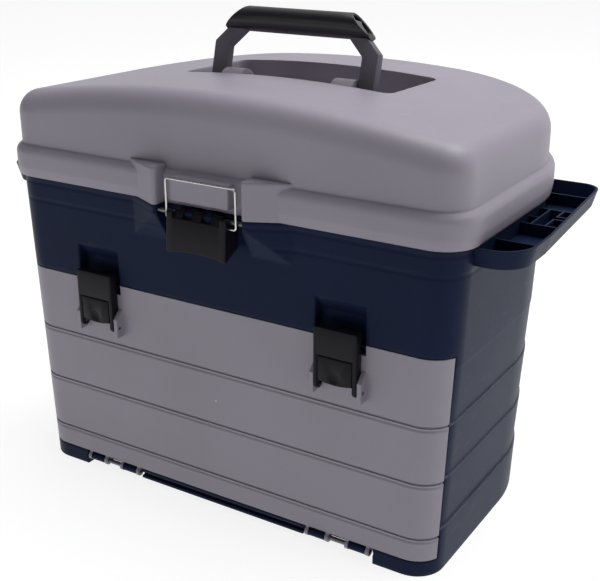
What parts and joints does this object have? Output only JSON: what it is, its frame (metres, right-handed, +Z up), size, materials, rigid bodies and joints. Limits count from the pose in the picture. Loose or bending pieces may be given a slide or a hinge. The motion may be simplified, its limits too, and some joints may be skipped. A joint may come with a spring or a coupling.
{
  "type": "storage chest",
  "caption": "Upright storage chest with a domed hinged lid, folding carry handle, wire bail latch, drop-down front door over stacked drawers, and open trays on both sides.",
  "frame": {"origin": "on the floor under the middle of the whole chest", "axes": "+X to the right seen from the front, +Y to the back, +Z up; the door and the latch face -Y"},
  "size_m": [0.508, 0.311, 0.4177],
  "materials": {
    "navy_plastic": "fine moulded grain",
    "grey_plastic": "fine moulded grain",
    "black_plastic": "satin",
    "stainless_wire": "bright drawn wire",
    "steel_pins": "ground",
    "drawer_plastic": "moulded, a little cloudy",
    "divider_plastic": "moulded"
  },
  "bodies": {
    "cabinet": {"body_shell": "navy_plastic", "bin_floor": "navy_plastic", "drawer_rail_right": "navy_plastic", "drawer_rail_left": "navy_plastic", "side_tray_right": "navy_plastic", "side_tray_left": "navy_plastic", "main_latch_pin": "steel_pins", "lid_hinge_pins": "steel_pins"},
    "lid": {"lid_shell": "grey_plastic", "handle_pins": "steel_pins"},
    "handle": {"handle_frame": "black_plastic", "handle_grip": "black_plastic"},
    "latch_lever": {"main_latch_lever": "black_plastic"},
    "latch_bail": {"main_latch_bail": "stainless_wire"},
    "door": {"front_door": "grey_plastic", "door_hinge_pins": "grey_plastic", "door_latch_pins": "steel_pins"},
    "left_latch": {"door_latch_left": "black_plastic"},
    "right_latch": {"door_latch_right": "black_plastic"},
    "top_drawer": {"drawer_top": "drawer_plastic", "dividers_top": "divider_plastic"},
    "middle_drawer": {"drawer_middle": "drawer_plastic", "dividers_middle": "divider_plastic"},
    "bottom_drawer": {"drawer_bottom": "drawer_plastic", "dividers_bottom": "divider_plastic"}
  },
  "joints": [
    {"name": "lid_hinge", "type": "hinge", "parent": "cabinet", "child": "lid", "pos_m": [0, 0.1505, 0.271], "axis": [-1, 0, 0], "range_deg": [0, 105]},
    {"name": "handle_fold", "type": "hinge", "parent": "lid", "child": "handle", "pos_m": [0, -0.0145, 0.348], "axis": [-1, 0, 0], "range_deg": [-15, 73]},
    {"name": "lever_lift", "type": "hinge", "parent": "cabinet", "child": "latch_lever", "pos_m": [0, -0.1465, 0.273], "axis": [-1, 0, 0], "range_deg": [0, 110]},
    {"name": "bail_swing", "type": "hinge", "parent": "latch_lever", "child": "latch_bail", "pos_m": [0, -0.14975, 0.2685], "axis": [-1, 0, 0], "range_deg": [-130, 0]},
    {"name": "door_hinge", "type": "hinge", "parent": "cabinet", "child": "door", "pos_m": [0, -0.134, 0.0095], "axis": [1, 0, 0], "range_deg": [0, 88]},
    {"name": "left_latch_swing", "type": "hinge", "parent": "door", "child": "left_latch", "pos_m": [-0.1215, -0.1401, 0.1535], "axis": [1, 0, 0], "range_deg": [0, 100]},
    {"name": "right_latch_swing", "type": "hinge", "parent": "door", "child": "right_latch", "pos_m": [0.1215, -0.1401, 0.1535], "axis": [1, 0, 0], "range_deg": [0, 100]},
    {"name": "top_drawer_slide", "type": "slide", "parent": "cabinet", "child": "top_drawer", "axis": [0, -1, 0], "range_m": [0, 0.15]},
    {"name": "middle_drawer_slide", "type": "slide", "parent": "cabinet", "child": "middle_drawer", "axis": [0, -1, 0], "range_m": [0, 0.15]},
    {"name": "bottom_drawer_slide", "type": "slide", "parent": "cabinet", "child": "bottom_drawer", "axis": [0, -1, 0], "range_m": [0, 0.15]}
  ],
  "couplings": [
    {"joint": "bail_swing", "follows": "lever_lift", "ratio": -1.15},
    {"joint": "top_drawer_slide", "follows": "door_hinge", "m_per_rad": 0.0975},
    {"joint": "middle_drawer_slide", "follows": "door_hinge", "m_per_rad": 0.085},
    {"joint": "bottom_drawer_slide", "follows": "door_hinge", "m_per_rad": 0.0225}
  ]
}
